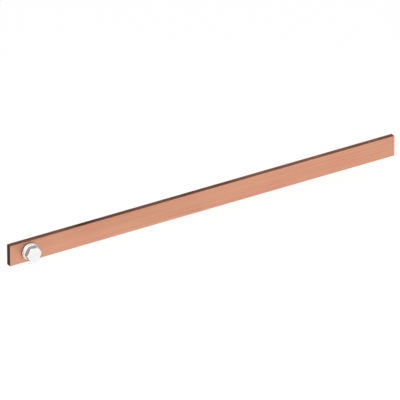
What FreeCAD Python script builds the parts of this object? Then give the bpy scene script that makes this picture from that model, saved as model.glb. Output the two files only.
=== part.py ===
# Flat copper busbar with a bolt, washers and nut at its left end.
#
# Frame, in millimetres: +X runs along the bar, away from the bolt, -Y is the front, where the bolt
# head is, and +Z is up. The origin is the middle of the narrow bottom edge, on which the bar stands.
#
# The fasteners are drawn about their own Z axis and then turned onto the bolt line, along Y.
import FreeCAD, Part
import os
import Sketcher

Vector = FreeCAD.Vector

# Two places or lengths this close are the same
TOUCH = 1e-4

# Turns in degrees: about X, to lay a fastener's own Z axis along the bolt line, and once round
TO_REAR = -90
TO_FRONT = 90
FULL_TURN = 360

# How a sketch constraint names the sketch's origin and the points of a line or circle
ORIGIN = (-1, 1)
START = 1
END = 2
CENTRE = 3

# Driving dimensions: name, value, what it measures
DIMENSIONS = (
    ("bar_length", 400, "copper bar from end to end"),
    ("bar_height", 20, "copper bar from bottom edge to top edge"),
    ("bar_thickness", 5, "copper bar from front face to rear face"),
    ("bar_edge_radius", 0.3, "rounding drawn along the four long edges"),
    ("bar_end_chamfer", 0.2, "broken edge round the sawn ends"),
    ("bolt_inset", 20, "left end of the bar to the bolt line"),
    ("hole_clearance", 0.5, "bar hole outside the bolt, on the radius"),
    ("hole_deburr", 0.3, "broken edge of the bar hole"),
    ("bolt_diameter", 8, "outside of the bolt thread"),
    ("thread_projection", 2, "bolt end past the nut"),
    ("tip_chamfer", 0.8, "chamfer on the bolt end"),
    ("under_head_radius", 0.3, "rounding between shank and head"),
    ("across_flats", 13, "spanner size of the head and the nut"),
    ("crown_inset", 0.325, "flat to the crown circle, on the radius"),
    ("crown_angle", 30, "slope of the corner chamfer"),
    ("head_height", 5.3, "bolt head with its bearing face"),
    ("head_bearing_diameter", 11.6, "round bearing face under the head"),
    ("head_bearing_height", 0.4, "how far the bearing face stands out"),
    ("washer_clearance", 0.2, "washer bores outside the bolt, on the radius"),
    ("spring_washer_diameter", 14.8, "spring washer across its rim"),
    ("spring_washer_thickness", 2, "spring washer wire along the bolt"),
    ("spring_washer_chamfer", 0.4, "broken edges of the spring washer wire"),
    ("spring_washer_split", 0.8, "gap between the ends of the spring washer"),
    ("spring_washer_slant", 30, "lean of the split from the bolt line"),
    ("plain_washer_diameter", 16, "plain washers across the rim"),
    ("plain_washer_thickness", 1.6, "plain washer metal"),
    ("plain_washer_chamfer", 0.4, "chamfer of the rim's outer edge"),
    ("nut_height", 3.8, "low nut from face to face"),
    ("thread_clearance", 0.05, "nut bore outside the bolt, on the radius"),
    ("nut_countersink", 0.35, "countersink of the nut bore, on the radius"),
)

# Sizes that follow from the driving dimensions
BOLT_RADIUS = "Sizes.bolt_diameter / 2"
HOLE_RADIUS = f"{BOLT_RADIUS} + Sizes.hole_clearance"
WASHER_BORE = f"{BOLT_RADIUS} + Sizes.washer_clearance"
NUT_BORE = f"{BOLT_RADIUS} + Sizes.thread_clearance"
FRONT_FACE = "-Sizes.bar_thickness / 2"
REAR_FACE = "Sizes.bar_thickness / 2"
UNDER_HEAD = "Sizes.plain_washer_thickness + Sizes.spring_washer_thickness"
BEHIND_BAR = "Sizes.plain_washer_thickness + Sizes.nut_height + Sizes.thread_projection"
BOLT_LENGTH = f"{UNDER_HEAD} + Sizes.bar_thickness + {BEHIND_BAR}"
BOLT_LINE_X = "-Sizes.bar_length / 2 + Sizes.bolt_inset"
BOLT_LINE_Z = "Sizes.bar_height / 2"

HALF_FLATS = "Sizes.across_flats / 2"
CORNER_RADIUS = "Sizes.across_flats / sqrt(3)"
CROWN_RADIUS = f"{HALF_FLATS} - Sizes.crown_inset"

doc = FreeCAD.newDocument("CopperBusbar")


def make_sheet():
    """Spreadsheet with one row for each driving dimension."""
    sheet = doc.addObject("Spreadsheet::Sheet", "Sizes")
    for row, (alias, value, meaning) in enumerate(DIMENSIONS, start=1):
        sheet.set(f"A{row}", meaning)
        sheet.set(f"B{row}", str(value))
        sheet.setAlias(f"B{row}", alias)
    doc.recompute()
    return sheet


def make_body(label):
    body = doc.addObject("PartDesign::Body", label)
    body.Label = label
    return body


def make_sketch(body, role, name):
    """Sketch on one of the body's own origin planes."""
    plane = next(feature for feature in body.Origin.OriginFeatures if feature.Role == role)
    sketch = body.newObject("Sketcher::SketchObject", name)
    sketch.AttachmentSupport = (plane, [""])
    sketch.MapMode = "FlatFace"
    return sketch


def locate(sketch, across, up):
    return Vector(sketch.evalExpression(across), sketch.evalExpression(up), 0)


def hold_point(sketch, geometry, point, across, up):
    """Dimension one point of the sketch from its origin, with both distances tied to the sheet."""
    for kind, expression in (("DistanceX", across), ("DistanceY", up)):
        value = sketch.evalExpression(expression)
        index = sketch.addConstraint(Sketcher.Constraint(kind, *ORIGIN, geometry, point, value))
        name = f"{kind}_{geometry}"
        sketch.renameConstraint(index, name)
        sketch.setExpression(f"Constraints.{name}", expression)


def draw_outline(sketch, corners):
    """Closed polygon through the corners, each given as two expressions."""
    points = [locate(sketch, across, up) for across, up in corners]
    count = len(points)
    for index, point in enumerate(points):
        sketch.addGeometry(Part.LineSegment(point, points[(index + 1) % count]))
    for index in range(count):
        sketch.addConstraint(Sketcher.Constraint("Coincident", index, END, (index + 1) % count, START))
    for index, (across, up) in enumerate(corners):
        hold_point(sketch, index, START, across, up)


def draw_circle(sketch, across, up, radius):
    value = sketch.evalExpression(radius)
    circle = sketch.addGeometry(Part.Circle(locate(sketch, across, up), Vector(0, 0, 1), value))
    hold_point(sketch, circle, CENTRE, across, up)
    index = sketch.addConstraint(Sketcher.Constraint("Radius", circle, value))
    sketch.renameConstraint(index, "Radius")
    sketch.setExpression("Constraints.Radius", radius)


def draw_hexagon(sketch):
    """Hexagon with its corners along the sketch's X axis and flats above and below."""
    half_side = f"({CORNER_RADIUS}) / 2"
    draw_outline(sketch, (
        (CORNER_RADIUS, "0"),
        (half_side, HALF_FLATS),
        (f"-{half_side}", HALF_FLATS),
        (f"-{CORNER_RADIUS}", "0"),
        (f"-{half_side}", f"-{HALF_FLATS}"),
        (half_side, f"-{HALF_FLATS}"),
    ))


def add_pad(body, sketch, name, length, side="One side", backwards=False):
    pad = body.newObject("PartDesign::Pad", name)
    pad.Profile = sketch
    pad.SideType = side
    pad.Reversed = backwards
    pad.setExpression("Length", length)
    doc.recompute()
    return pad


def add_turned(body, kind, name, corners):
    """Revolution or groove of an outline of radius and height about the body's Z axis."""
    sketch = make_sketch(body, "XZ_Plane", f"{name}_outline")
    draw_outline(sketch, corners)
    turned = body.newObject(kind, name)
    turned.Profile = sketch
    turned.ReferenceAxis = (sketch, ["V_Axis"])
    turned.Angle = FULL_TURN
    doc.recompute()
    return turned


def pick(kind, items, wanted):
    """Names, such as Edge4 or Face2, of the edges or faces that the test wants."""
    return [f"{kind}{number}" for number, item in enumerate(items, start=1) if wanted(item)]


def is_round(edge, radius):
    return isinstance(edge.Curve, Part.Circle) and abs(edge.Curve.Radius - radius) < TOUCH


def rings(feature, radius, height):
    """Names of the feature's round edges about the Z axis with this radius at this height."""
    centre = Vector(0, 0, height)
    return pick("Edge", feature.Shape.Edges,
                lambda edge: is_round(edge, radius) and edge.Curve.Center.distanceToPoint(centre) < TOUCH)


def dress(body, kind, name, base, edges, size):
    """Fillet or chamfer on named edges of the base feature."""
    dressed = body.newObject(kind, name)
    dressed.Base = (base, edges)
    dressed.setExpression("Radius" if kind == "PartDesign::Fillet" else "Size", size)
    doc.recompute()
    return dressed


def place(body, along_y, turn):
    """Put a fastener on the bolt line, turned about X so that its own Z axis runs along Y."""
    body.Placement = FreeCAD.Placement(Vector(), FreeCAD.Rotation(Vector(1, 0, 0), turn))
    body.setExpression("Placement.Base.x", BOLT_LINE_X)
    body.setExpression("Placement.Base.y", along_y)
    body.setExpression("Placement.Base.z", BOLT_LINE_Z)


def make_copper_bar():
    """Drawn flat bar, rounded along its edges, sawn to length and drilled for the bolt."""
    body = make_body("copper_bar")
    section = make_sketch(body, "YZ_Plane", "bar_section")
    draw_outline(section, (
        (FRONT_FACE, "0"),
        (REAR_FACE, "0"),
        (REAR_FACE, "Sizes.bar_height"),
        (FRONT_FACE, "Sizes.bar_height"),
    ))
    drawn = add_pad(body, section, "drawn_flat", "Sizes.bar_length", side="Symmetric")
    length = body.evalExpression("Sizes.bar_length")
    edges = pick("Edge", drawn.Shape.Edges, lambda edge: abs(edge.BoundBox.XLength - length) < TOUCH)
    rounded = dress(body, "PartDesign::Fillet", "drawn_edges", drawn, edges, "Sizes.bar_edge_radius")
    ends = pick("Face", rounded.Shape.Faces, lambda face: face.BoundBox.XLength < TOUCH)
    dress(body, "PartDesign::Chamfer", "sawn_ends", rounded, ends, "Sizes.bar_end_chamfer")

    mouth = make_sketch(body, "XZ_Plane", "hole_mouth")
    draw_circle(mouth, BOLT_LINE_X, BOLT_LINE_Z, HOLE_RADIUS)
    hole = body.newObject("PartDesign::Pocket", "bolt_hole")
    hole.Profile = mouth
    hole.SideType = "Symmetric"
    hole.Type = "ThroughAll"
    doc.recompute()
    radius = body.evalExpression(HOLE_RADIUS)
    rims = pick("Edge", hole.Shape.Edges, lambda edge: is_round(edge, radius))
    dress(body, "PartDesign::Chamfer", "hole_edges", hole, rims, "Sizes.hole_deburr")
    return body


def crown_cut(end, inward):
    """Triangle that turns the hexagon's corners off at one end. inward is the sign of the way in."""
    outside = f"{CORNER_RADIUS} + Sizes.crown_inset"
    depth = f"({outside} - ({CROWN_RADIUS})) * tan(Sizes.crown_angle)"
    return (
        (CROWN_RADIUS, end),
        (outside, end),
        (outside, f"{end} {inward} {depth}"),
    )


def make_hex_bolt():
    """Forged hexagon head on a shank, from the bearing face at height 0 to the bolt end."""
    body = make_body("hex_bolt")
    hexagon = make_sketch(body, "XY_Plane", "head_hexagon")
    draw_hexagon(hexagon)
    hexagon.setExpression("AttachmentOffset.Base.z", "-Sizes.head_bearing_height")
    add_pad(body, hexagon, "head", "Sizes.head_height - Sizes.head_bearing_height", backwards=True)
    add_turned(body, "PartDesign::Groove", "head_crown", crown_cut("-Sizes.head_height", "+"))

    bearing = make_sketch(body, "XY_Plane", "bearing_circle")
    draw_circle(bearing, "0", "0", "Sizes.head_bearing_diameter / 2")
    add_pad(body, bearing, "bearing_face", "Sizes.head_bearing_height", backwards=True)

    round_bar = make_sketch(body, "XY_Plane", "shank_circle")
    draw_circle(round_bar, "0", "0", BOLT_RADIUS)
    shank = add_pad(body, round_bar, "shank", BOLT_LENGTH)
    radius = body.evalExpression(BOLT_RADIUS)
    root = rings(shank, radius, 0)
    neck = dress(body, "PartDesign::Fillet", "under_head", shank, root, "Sizes.under_head_radius")
    tip = rings(neck, radius, body.evalExpression(BOLT_LENGTH))
    dress(body, "PartDesign::Chamfer", "bolt_end", neck, tip, "Sizes.tip_chamfer")
    place(body, f"{FRONT_FACE} - ({UNDER_HEAD})", TO_REAR)
    return body


def make_spring_washer():
    """Split spring washer, tightened flat, with its slanting split on the side away from the bar's end."""
    body = make_body("spring_washer")
    rim = "Sizes.spring_washer_diameter / 2"
    top = "Sizes.spring_washer_thickness"
    edge = "Sizes.spring_washer_chamfer"
    coil = add_turned(body, "PartDesign::Revolution", "coil", (
        (f"{WASHER_BORE} + {edge}", "0"),
        (f"{rim} - {edge}", "0"),
        (rim, edge),
        (rim, f"{top} - {edge}"),
        (f"{rim} - {edge}", top),
        (f"{WASHER_BORE} + {edge}", top),
        (WASHER_BORE, f"{top} - {edge}"),
        (WASHER_BORE, edge),
    ))

    reach = f"({top} / 2 + Sizes.spring_washer_split)"
    lean = f"{reach} * tan(Sizes.spring_washer_slant)"
    half_gap = "Sizes.spring_washer_split / (2 * cos(Sizes.spring_washer_slant))"
    gap = make_sketch(body, "YZ_Plane", "split_outline")
    draw_outline(gap, (
        (f"-{lean} - {half_gap}", f"{top} / 2 - {reach}"),
        (f"-{lean} + {half_gap}", f"{top} / 2 - {reach}"),
        (f"{lean} + {half_gap}", f"{top} / 2 + {reach}"),
        (f"{lean} - {half_gap}", f"{top} / 2 + {reach}"),
    ))
    split = body.newObject("PartDesign::Pocket", "split")
    split.Profile = gap
    split.Type = "ThroughAll"
    split.Reversed = True
    doc.recompute()
    if split.Shape.Volume > coil.Shape.Volume - TOUCH:
        raise RuntimeError("the split cuts nothing from the spring washer")
    place(body, f"{FRONT_FACE} - Sizes.plain_washer_thickness", TO_FRONT)
    return body


def make_plain_washer(label, seat, turn):
    """Flat washer on one face of the bar, chamfered on its outer face."""
    body = make_body(label)
    rim = "Sizes.plain_washer_diameter / 2"
    blank = add_turned(body, "PartDesign::Revolution", "blank", (
        (WASHER_BORE, "0"),
        (rim, "0"),
        (rim, "Sizes.plain_washer_thickness"),
        (WASHER_BORE, "Sizes.plain_washer_thickness"),
    ))
    outer = rings(blank, body.evalExpression(rim), body.evalExpression("Sizes.plain_washer_thickness"))
    dress(body, "PartDesign::Chamfer", "blank_edge", blank, outer, "Sizes.plain_washer_chamfer")
    place(body, seat, turn)
    return body


def make_hex_nut():
    """Low hexagon nut, crowned and countersunk on both sides."""
    body = make_body("hex_nut")
    hexagon = make_sketch(body, "XY_Plane", "nut_hexagon")
    draw_hexagon(hexagon)
    add_pad(body, hexagon, "nut_blank", "Sizes.nut_height")
    add_turned(body, "PartDesign::Groove", "seat_crown", crown_cut("0", "+"))
    add_turned(body, "PartDesign::Groove", "outer_crown", crown_cut("Sizes.nut_height", "-"))

    bore = make_sketch(body, "XY_Plane", "bore_circle")
    draw_circle(bore, "0", "0", NUT_BORE)
    bored = body.newObject("PartDesign::Pocket", "bore")
    bored.Profile = bore
    bored.Type = "ThroughAll"
    bored.Reversed = True
    doc.recompute()
    radius = body.evalExpression(NUT_BORE)
    mouths = rings(bored, radius, 0) + rings(bored, radius, body.evalExpression("Sizes.nut_height"))
    dress(body, "PartDesign::Chamfer", "countersinks", bored, mouths, "Sizes.nut_countersink")
    place(body, f"{REAR_FACE} + Sizes.plain_washer_thickness", TO_REAR)
    return body


make_sheet()
PIECES = (
    make_copper_bar(),
    make_hex_bolt(),
    make_spring_washer(),
    make_plain_washer("front_washer", FRONT_FACE, TO_FRONT),
    make_plain_washer("plain_washer", REAR_FACE, TO_REAR),
    make_hex_nut(),
)
doc.recompute()

for item in doc.Objects:
    if "Invalid" in item.State or "Error" in item.State:
        raise RuntimeError(f"{item.Label} failed: {item.State}")
for piece in PIECES:
    shape = piece.Shape
    if shape.isNull() or not shape.isValid() or len(shape.Solids) != 1:
        raise RuntimeError(f"{piece.Label} is not one valid solid")

os.makedirs("parts", exist_ok=True)
for piece in PIECES:
    piece.Shape.exportStep(f"parts/{piece.Label}.step")
    box = piece.Shape.optimalBoundingBox()
    print(f"{piece.Label}: {piece.Shape.Volume:.1f} mm3, "
          f"{box.XLength:.2f} x {box.YLength:.2f} x {box.ZLength:.2f} mm")
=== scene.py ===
# Dresses the copper busbar: finishes for the bar and its fasteners, a bolt with a real thread, and
# the floor, light and camera. Lengths are in metres, in the model's own frame: +X runs along the bar,
# away from the bolt, -Y is the front, where the bolt head is, and +Z is up.
import math
from collections import namedtuple

import bmesh
import bpy
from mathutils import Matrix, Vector


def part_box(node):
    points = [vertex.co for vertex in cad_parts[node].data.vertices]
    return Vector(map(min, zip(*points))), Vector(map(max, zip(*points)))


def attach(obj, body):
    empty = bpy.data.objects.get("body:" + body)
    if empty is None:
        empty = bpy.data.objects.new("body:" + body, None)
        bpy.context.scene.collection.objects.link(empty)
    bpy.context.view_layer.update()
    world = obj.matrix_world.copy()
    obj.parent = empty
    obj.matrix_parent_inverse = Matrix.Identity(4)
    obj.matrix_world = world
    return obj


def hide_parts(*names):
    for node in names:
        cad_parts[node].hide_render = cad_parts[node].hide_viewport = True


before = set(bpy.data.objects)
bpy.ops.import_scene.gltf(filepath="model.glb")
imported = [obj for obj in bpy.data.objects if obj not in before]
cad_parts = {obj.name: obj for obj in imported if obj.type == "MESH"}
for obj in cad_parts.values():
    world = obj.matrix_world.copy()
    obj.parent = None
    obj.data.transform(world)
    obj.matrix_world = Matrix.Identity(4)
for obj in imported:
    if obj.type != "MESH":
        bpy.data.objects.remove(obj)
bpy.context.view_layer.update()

MM = 0.001
WHITE = (1, 1, 1, 1)

# Camera, fitted to the edges of the bar in the photograph
VIEW_AZIMUTH = -31.44
VIEW_ELEVATION = 28.13
VIEW_DISTANCE = 7.0
VIEW_AIM = Vector((-3.33 * MM, 0, 10.16 * MM))
VIEW_PIXELS = 400
VIEW_PIXELS_PER_METRE = 1127.1

# Bolt head
HEAD_SIDES = 6
CROWN_INSET = 0.325 * MM
CROWN_SLOPE = math.tan(math.radians(30))
CORNER_ROUNDING = 0.3 * MM
BEARING_RADIUS = 5.8 * MM
BEARING_HEIGHT = 0.4 * MM
UNDER_HEAD_RADIUS = 0.3 * MM
FILLET_STEPS = 4
FLAT_COLUMNS = 10
CORNER_COLUMNS = 4

# M8 coarse thread: where each corner of its section lies along one pitch, and how far it sinks
THREAD_RADIUS = 4.0 * MM
THREAD_PITCH = 1.25 * MM
THREAD_DEPTH = 0.6134 * THREAD_PITCH
THREAD_SECTION = ((0, 0), (1 / 8, 0), (7 / 16, 1), (11 / 16, 1))
THREAD_RUNOUT = 1.2 * MM
TIP_CHAMFER = 0.8 * MM
SHARP_ANGLE = math.radians(25)
WELD_DISTANCE = 0.001 * MM

# Copper, and the dark brown on its edges and ends, as linear colours. That brown is partly tarnish and
# partly painted shade.
COPPER = (0.770, 0.400, 0.265, 1)
COPPER_LINE = (0.715, 0.358, 0.231, 1)
COPPER_CLOUD = (0.745, 0.364, 0.247, 1)
# Painted shade with some tarnish: the browns of the narrow faces, darker than oxide alone
EDGE_TARNISH_AND_SHADE = (0.114, 0.047, 0.026, 1)
EDGE_DEEP_TARNISH_AND_SHADE = (0.052, 0.020, 0.010, 1)
END_TARNISH_AND_SHADE = (0.060, 0.022, 0.011, 1)

# Where the edges' deeper tarnish and painted shade on the bolt's half of the bar starts and ends its fade,
# along X
DEEP_TARNISH_AND_SHADE_FADES = (-5 * MM, 60 * MM)

# The tarnish and painted shade start where a surface faces up or down, or along the bar, by the first
# number, and are whole at the second, once the rubbing has taken its share
EDGE_TARNISH_AND_SHADE_RANGE = (0.15, 0.6)
END_TARNISH_AND_SHADE_RANGE = (0.0, 0.45)
RUBBING = 0.5

# How much the tarnish and painted shade cover, and what clouds add on the edges and saw marks on the ends
EDGE_COVER = 0.85
EDGE_COVER_CLOUDS = 0.15
END_COVER = 0.8
END_COVER_SAW = 0.4

# Shine and relief of the copper
COPPER_ROUGHNESS = 0.48
TARNISH_AND_SHADE_ROUGHNESS = 0.20
TARNISH_AND_SHADE_DULLNESS = 0.75
TARNISH_AND_SHADE_GLOSS = 0.08
SAW_RELIEF = 2.0
COPPER_RELIEF = 0.02 * MM
COPPER_RELIEF_STRENGTH = 0.25

# Zinc on the bolt, nut and plain washers, and zinc flake on the spring washer, as linear colours. The grey
# sides of the bolt and nut and the near-black rims of the plain washers are painted shade.
ZINC = (0.970, 0.972, 0.970, 1)
ZINC_CLOUD = (0.900, 0.908, 0.915, 1)
FLAKE = (0.960, 0.960, 0.960, 1)
FLAKE_CLOUD = (0.900, 0.900, 0.895, 1)
FLAKE_RIM = (0.740, 0.740, 0.738, 1)
# Painted shade: the sides of the bolt, its thread and the nut, darker grey than their faces
FLANK_SHADE = (0.310, 0.308, 0.306, 1)
# Painted shade: the plain washers' rims, near black
RIM_SHADE = (0.110, 0.094, 0.084, 1)

# How metallic the faces and the sides of a plated piece are
ZINC_BARENESS = (1.0, 0.25)
FLAKE_BARENESS = (0.3, 0.15)

# A surface is a side where it faces along the bolt by less than the first number, and a face where
# it does by more than the second
FLANK_TURN = (0.2, 0.6)
RIM_TURN = (0.45, 0.85)

# Shine and relief of the plating
PLATING_ROUGHNESS = 0.42
SIDE_ROUGHNESS = 0.15
PLATING_GLOSS = 0.5
PLATING_RELIEF = 0.01 * MM
PLATING_RELIEF_STRENGTH = 0.3

# Layers of the finishes. Each is noise with so many spots per metre along X, Y and Z, and so much fine
# detail. It starts to show at the level low, is whole at high, and adds tint, roughness and relief.
Layer = namedtuple("Layer", "grain detail low high tint rough relief", defaults=(0, 0, 0))
DIE_LINES = Layer((6, 500, 500), 3.0, low=0.35, high=0.70, tint=0.65, rough=0.10, relief=0.6)
HAIRLINES = Layer((10, 4200, 4200), 2.0, low=0.35, high=0.65, tint=0.30, rough=0.04, relief=0.3)
TARNISH_CLOUDS = Layer((22, 45, 45), 3.0, low=0.40, high=0.75, tint=0.70, rough=0.06)
PLATING_CLOUDS = Layer((180, 180, 180), 3.0, low=0.35, high=0.75, rough=0.10)

# Plain noise of the finishes: its spots per metre along X, Y and Z, and its fine detail
SAW_MARKS = ((300, 60, 1300), 3.0)
RUBBED_SPOTS = ((50, 260, 260), 3.0)
PLATING_GRAIN = ((2600, 2600, 2600), 2.0)

# Numbers of a Mix node's sockets for colours: the two that it takes, and its result
MIX_FIRST = 6
MIX_SECOND = 7
MIX_RESULT = 2

# Floor and light
FLOOR_SIZE = 60.0
FLOOR_COLOUR = (0.92, 0.92, 0.92, 1)
FLOOR_GLOW = 0.92
WORLD_LEVEL = 0.75
SOFTBOX_PLACE = Vector((-0.9, -1.4, 1.8))
SOFTBOX_SIZE = (1.6, 1.0)
SOFTBOX_WATTS = 32


class Value:
    """A number that varies over a surface: one output socket, with operators that add Math nodes."""

    def __init__(self, finish, socket):
        self.finish = finish
        self.socket = socket

    def __add__(self, other):
        return self.finish.maths("ADD", self, other)

    def __radd__(self, other):
        return self.finish.maths("ADD", other, self)

    def __sub__(self, other):
        return self.finish.maths("SUBTRACT", self, other)

    def __rsub__(self, other):
        return self.finish.maths("SUBTRACT", other, self)

    def __mul__(self, other):
        return self.finish.maths("MULTIPLY", self, other)

    def __rmul__(self, other):
        return self.finish.maths("MULTIPLY", other, self)

    def __abs__(self):
        return self.finish.maths("ABSOLUTE", self)


class Finish:
    """One material and the nodes that make it."""

    def __init__(self, name):
        self.material = bpy.data.materials.new(name)
        self.material.use_nodes = True
        self.tree = self.material.node_tree
        self.tree.nodes.clear()

    def node(self, kind, settings=None, sockets=None, output=0):
        """Adds a node, sets it up, then gives its sockets values or links. Returns one of its outputs."""
        node = self.tree.nodes.new(kind)
        for name, value in (settings or {}).items():
            setattr(node, name, value)
        for key, value in (sockets or {}).items():
            if isinstance(value, Value):
                self.tree.links.new(value.socket, node.inputs[key])
            else:
                node.inputs[key].default_value = value
        return Value(self, node.outputs[output]) if node.outputs else node

    def maths(self, operation, *values):
        """One Math node on numbers and values."""
        sockets = dict(enumerate(values))
        return self.node("ShaderNodeMath", {"operation": operation}, sockets)

    def blend(self, factor, first, second):
        """Colour between first, at factor 0, and second, at factor 1."""
        sockets = {"Factor": factor, MIX_FIRST: first, MIX_SECOND: second}
        return self.node("ShaderNodeMix", {"data_type": "RGBA"}, sockets, output=MIX_RESULT)

    def rise(self, value, low, high):
        """Smooth step of a value from 0 at low to 1 at high."""
        sockets = {"Value": value, "From Min": low, "From Max": high}
        return self.node("ShaderNodeMapRange", {"interpolation_type": "SMOOTHSTEP"}, sockets)

    def place(self):
        """Where a point of the surface is, in metres in the model's frame."""
        return self.node("ShaderNodeTexCoord", output="Object")

    def part(self, vector, axis):
        """A vector's own part along X, Y or Z."""
        return self.node("ShaderNodeSeparateXYZ", None, {0: vector}, output=axis)

    def facing(self, axis):
        """How far the surface faces along X, Y or Z, either way, from 0 to 1."""
        normal = self.node("ShaderNodeTexCoord", output="Normal")
        return abs(self.part(normal, axis))

    def noise(self, grain, detail):
        """Noise from 0 to 1, with so many spots per metre along X, Y and Z."""
        settings = {"operation": "MULTIPLY"}
        stretched = self.node("ShaderNodeVectorMath", settings, {0: self.place(), 1: grain})
        return self.node("ShaderNodeTexNoise", None, {"Vector": stretched, "Scale": 1.0, "Detail": detail})

    def layer(self, layer):
        """How much a layer shows, from 0 to 1."""
        return self.rise(self.noise(layer.grain, layer.detail), layer.low, layer.high)

    def bump(self, height, distance, strength):
        """Normal of a surface with a little relief."""
        sockets = {"Height": height, "Distance": distance, "Strength": strength}
        return self.node("ShaderNodeBump", None, sockets)

    def metal(self, colour, metallic, roughness, normal, gloss):
        """Ends the material with a metal shader. gloss is the shine of what isn't bare metal."""
        sockets = {"Base Color": colour, "Metallic": metallic, "Roughness": roughness, "Normal": normal,
                   "Specular IOR Level": gloss}
        shader = self.node("ShaderNodeBsdfPrincipled", None, sockets)
        self.node("ShaderNodeOutputMaterial", None, {"Surface": shader})
        return self.material


def copper_finish():
    """Drawn flat copper: lines along it, and dark brown on edges and sawn ends, partly tarnish and partly
    painted shade, rubbed at the corners.
    """
    finish = Finish("drawn_copper")
    rubbed = RUBBING * finish.noise(*RUBBED_SPOTS)
    edge = finish.rise(finish.facing("Z") - rubbed, *EDGE_TARNISH_AND_SHADE_RANGE)
    end = finish.rise(finish.facing("X") - rubbed, *END_TARNISH_AND_SHADE_RANGE)
    lines = finish.layer(DIE_LINES)
    hairlines = finish.layer(HAIRLINES)
    clouds = finish.layer(TARNISH_CLOUDS)
    saw = finish.noise(*SAW_MARKS)

    face = finish.blend(DIE_LINES.tint * lines + HAIRLINES.tint * hairlines, COPPER, COPPER_LINE)
    face = finish.blend(TARNISH_CLOUDS.tint * clouds, face, COPPER_CLOUD)
    # Edges and ends painted dark brown, partly tarnish and partly painted shade, darkest on the bolt's half
    far_half = finish.rise(finish.part(finish.place(), "X"), *DEEP_TARNISH_AND_SHADE_FADES)
    tarnish_and_shade_colour = finish.blend(far_half, EDGE_DEEP_TARNISH_AND_SHADE, EDGE_TARNISH_AND_SHADE)
    with_tarnish_and_shade = finish.blend(edge * (EDGE_COVER + EDGE_COVER_CLOUDS * clouds), face, tarnish_and_shade_colour)
    colour = finish.blend(end * (END_COVER + END_COVER_SAW * saw), with_tarnish_and_shade, END_TARNISH_AND_SHADE)

    # Less metal where the painted shade and tarnish lie, so that they stay dark
    tarnish_and_shade_mask = finish.maths("MAXIMUM", edge, end)
    metallic = 1.0 - TARNISH_AND_SHADE_DULLNESS * tarnish_and_shade_mask
    roughness = COPPER_ROUGHNESS + DIE_LINES.rough * lines + HAIRLINES.rough * hairlines
    roughness = roughness + TARNISH_CLOUDS.rough * clouds + TARNISH_AND_SHADE_ROUGHNESS * tarnish_and_shade_mask
    relief = DIE_LINES.relief * lines + HAIRLINES.relief * hairlines + SAW_RELIEF * end * saw
    normal = finish.bump(relief, COPPER_RELIEF, COPPER_RELIEF_STRENGTH)
    return finish.metal(colour, metallic, roughness, normal, TARNISH_AND_SHADE_GLOSS)


def plated_finish(name, plating, cloud, side, bareness, turn):
    """Plated steel: a satin skin with faint clouds and a fine grain, over sides of another colour. On the
    bolt, nut and plain washers that darker side colour is painted shade.
    """
    finish = Finish(name)
    sides = 1.0 - finish.rise(finish.facing("Y"), *turn)
    clouds = finish.layer(PLATING_CLOUDS)
    colour = finish.blend(sides, finish.blend(clouds, plating, cloud), side)
    face_bareness, side_bareness = bareness
    metallic = face_bareness + (side_bareness - face_bareness) * sides
    roughness = PLATING_ROUGHNESS + PLATING_CLOUDS.rough * clouds + SIDE_ROUGHNESS * sides
    normal = finish.bump(finish.noise(*PLATING_GRAIN), PLATING_RELIEF, PLATING_RELIEF_STRENGTH)
    return finish.metal(colour, metallic, roughness, normal, PLATING_GLOSS)


def dress_node(node, material):
    """Gives a piece of the model its finish."""
    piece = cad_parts[node]
    piece.data.materials.clear()
    piece.data.materials.append(material)


def hexagon_columns(flat):
    """Points round a hexagon with rounded corners, as angle and distance from the bolt's axis.

    flat is the distance of its sides. The angle starts at +Z and turns towards +X, so that two sides
    face up and down. The last point is the first one again.
    """
    half_side = math.pi / HEAD_SIDES
    centre = (flat - CORNER_ROUNDING) / math.cos(half_side)
    tangent = math.atan((flat - CORNER_ROUNDING) * math.tan(half_side) / flat)
    columns = []
    for side in range(HEAD_SIDES):
        middle = 2 * half_side * side
        for step in range(FLAT_COLUMNS):
            turn = tangent * (2 * step / FLAT_COLUMNS - 1)
            columns.append((middle + turn, flat / math.cos(turn)))
        for step in range(CORNER_COLUMNS):
            turn = (half_side - tangent) * (2 * step / CORNER_COLUMNS - 1)
            chord = math.sqrt(CORNER_ROUNDING ** 2 - (centre * math.sin(turn)) ** 2)
            columns.append((middle + half_side + turn, centre * math.cos(turn) + chord))
    start, reach = columns[0]
    columns.append((start + 2 * math.pi, reach))
    return columns


def head_rings(columns, flat, top, bearing):
    """Rings of the bolt's head, each with a radius and a depth for every column."""
    crown = flat - CROWN_INSET
    collar = bearing - BEARING_HEIGHT
    outline = [reach for angle, reach in columns]
    rings = [
        [(crown, top) for reach in outline],
        [(reach, top + (reach - crown) * CROWN_SLOPE) for reach in outline],
        [(reach, collar) for reach in outline],
        [(BEARING_RADIUS, collar) for reach in outline],
        [(BEARING_RADIUS, bearing) for reach in outline],
    ]
    for step in range(FILLET_STEPS + 1):
        turn = math.radians(90) * step / FILLET_STEPS
        radius = THREAD_RADIUS + UNDER_HEAD_RADIUS * (1 - math.sin(turn))
        depth = bearing + UNDER_HEAD_RADIUS * (1 - math.cos(turn))
        rings.append([(radius, depth) for reach in outline])
    return rings


def thread_rings(columns, start, tip):
    """Rings of the thread, each of which climbs one pitch in a turn, cut off at start and at tip.

    They begin before start and end past tip, so that both cuts are whole.
    """
    turns = math.ceil((tip - start) / THREAD_PITCH) + 2
    rings = []
    for turn in range(turns):
        for along, sink in THREAD_SECTION:
            ring = []
            for angle, reach in columns:
                climb = turn + along + angle / (2 * math.pi) - 1
                depth = min(max(start + climb * THREAD_PITCH, start), tip)
                runout = min((depth - start) / THREAD_RUNOUT, 1)
                chamfer = THREAD_RADIUS - TIP_CHAMFER + tip - depth
                radius = min(THREAD_RADIUS - sink * runout * THREAD_DEPTH, chamfer)
                ring.append((radius, depth))
            rings.append(ring)
    return rings


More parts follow.
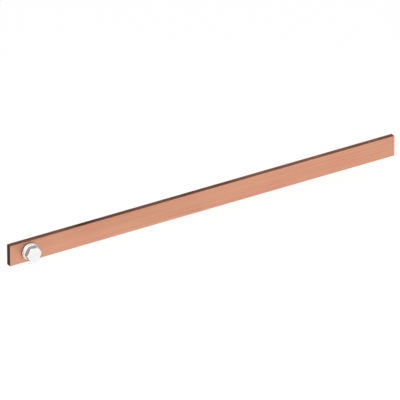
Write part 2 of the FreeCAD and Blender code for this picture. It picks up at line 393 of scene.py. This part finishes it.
def make_bolt(material):
    """Hexagon bolt with its thread cut, in place of the plain-shanked solid."""
    low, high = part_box("hex_bolt")
    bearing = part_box("spring_washer")[0].y
    middle = (low + high) / 2
    flat = (high.z - low.z) / 2
    columns = hexagon_columns(flat)
    rings = head_rings(columns, flat, low.y, bearing)
    rings += thread_rings(columns, bearing + UNDER_HEAD_RADIUS, high.y)

    shape = bmesh.new()
    grid = []
    for ring in rings:
        row = []
        for (angle, reach), (radius, depth) in zip(columns, ring):
            across = middle.x + radius * math.sin(angle)
            up = middle.z + radius * math.cos(angle)
            row.append(shape.verts.new((across, depth, up)))
        grid.append(row)
    for lower, upper in zip(grid, grid[1:]):
        for place in range(len(columns) - 1):
            corners = (lower[place], lower[place + 1], upper[place + 1], upper[place])
            shape.faces.new(corners)
    shape.faces.new(grid[0][:-1])
    shape.faces.new(grid[-1][:-1])
    bmesh.ops.remove_doubles(shape, verts=shape.verts, dist=WELD_DISTANCE)
    bmesh.ops.recalc_face_normals(shape, faces=shape.faces)
    for face in shape.faces:
        face.smooth = True
    mesh = bpy.data.meshes.new("threaded_bolt")
    shape.to_mesh(mesh)
    shape.free()
    mesh.set_sharp_from_angle(angle=SHARP_ANGLE)
    mesh.materials.append(material)

    bolt = bpy.data.objects.new("threaded_bolt", mesh)
    bpy.context.scene.collection.objects.link(bolt)
    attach(bolt, "root")
    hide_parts("hex_bolt")


def make_floor():
    """Pale floor that looks almost white, and keeps a faint shadow."""
    half = FLOOR_SIZE / 2
    corners = [(-half, -half, 0), (half, -half, 0), (half, half, 0), (-half, half, 0)]
    mesh = bpy.data.meshes.new("floor")
    mesh.from_pydata(corners, [], [(0, 1, 2, 3)])
    floor = bpy.data.objects.new("floor", mesh)
    bpy.context.scene.collection.objects.link(floor)

    finish = Finish("pale_floor")
    matt = finish.node("ShaderNodeBsdfDiffuse", None, {"Color": FLOOR_COLOUR})
    glow = finish.node("ShaderNodeEmission", None, {"Strength": 1.0})
    seen = finish.node("ShaderNodeLightPath", output="Is Camera Ray")
    for kind in ("Is Glossy Ray", "Is Transmission Ray"):
        seen = seen + finish.node("ShaderNodeLightPath", output=kind)
    shader = finish.node("ShaderNodeMixShader", None, {"Fac": FLOOR_GLOW * seen, 1: matt, 2: glow})
    finish.node("ShaderNodeOutputMaterial", None, {"Surface": shader})
    mesh.materials.append(finish.material)


def make_light():
    """Even white surroundings, and one large soft lamp at the front left."""
    world = bpy.data.worlds.new("studio")
    bpy.context.scene.world = world
    world.use_nodes = True
    surround = world.node_tree.nodes["Background"]
    surround.inputs["Color"].default_value = WHITE
    surround.inputs["Strength"].default_value = WORLD_LEVEL

    lamp = bpy.data.lights.new("front_softbox", "AREA")
    lamp.shape = "RECTANGLE"
    lamp.size, lamp.size_y = SOFTBOX_SIZE
    lamp.energy = SOFTBOX_WATTS
    softbox = bpy.data.objects.new("front_softbox", lamp)
    softbox.location = SOFTBOX_PLACE
    softbox.rotation_euler = (-SOFTBOX_PLACE).to_track_quat("-Z", "Y").to_euler()
    bpy.context.scene.collection.objects.link(softbox)


def make_camera():
    """Camera at the photograph's viewing angle, far off, so that the bar hardly tapers."""
    azimuth = math.radians(VIEW_AZIMUTH)
    elevation = math.radians(VIEW_ELEVATION)
    level = math.cos(elevation)
    back = Vector((math.sin(azimuth) * level, -math.cos(azimuth) * level, math.sin(elevation)))
    data = bpy.data.cameras.new("camera")
    data.type = "PERSP"
    data.lens = data.sensor_width * VIEW_PIXELS_PER_METRE * VIEW_DISTANCE / VIEW_PIXELS
    data.clip_end = 2 * FLOOR_SIZE
    camera = bpy.data.objects.new("camera", data)
    camera.location = VIEW_AIM + back * VIEW_DISTANCE
    camera.rotation_euler = (-back).to_track_quat("-Z", "Y").to_euler()
    bpy.context.scene.collection.objects.link(camera)
    bpy.context.scene.camera = camera


bpy.context.scene.view_settings.view_transform = "Standard"
# The bolt's and nut's grey sides are painted shade
zinc = plated_finish("bright_zinc", ZINC, ZINC_CLOUD, FLANK_SHADE, ZINC_BARENESS, FLANK_TURN)
# The plain washers' near-black rims are painted shade
zinc_with_rim_shade = plated_finish("zinc_with_painted_rim_shade", ZINC, ZINC_CLOUD, RIM_SHADE, ZINC_BARENESS, RIM_TURN)
flake = plated_finish("zinc_flake", FLAKE, FLAKE_CLOUD, FLAKE_RIM, FLAKE_BARENESS, FLANK_TURN)
dress_node("copper_bar", copper_finish())
dress_node("spring_washer", flake)
dress_node("front_washer", zinc_with_rim_shade)
dress_node("plain_washer", zinc_with_rim_shade)
dress_node("hex_nut", zinc)
make_bolt(zinc)
make_floor()
make_light()
make_camera()
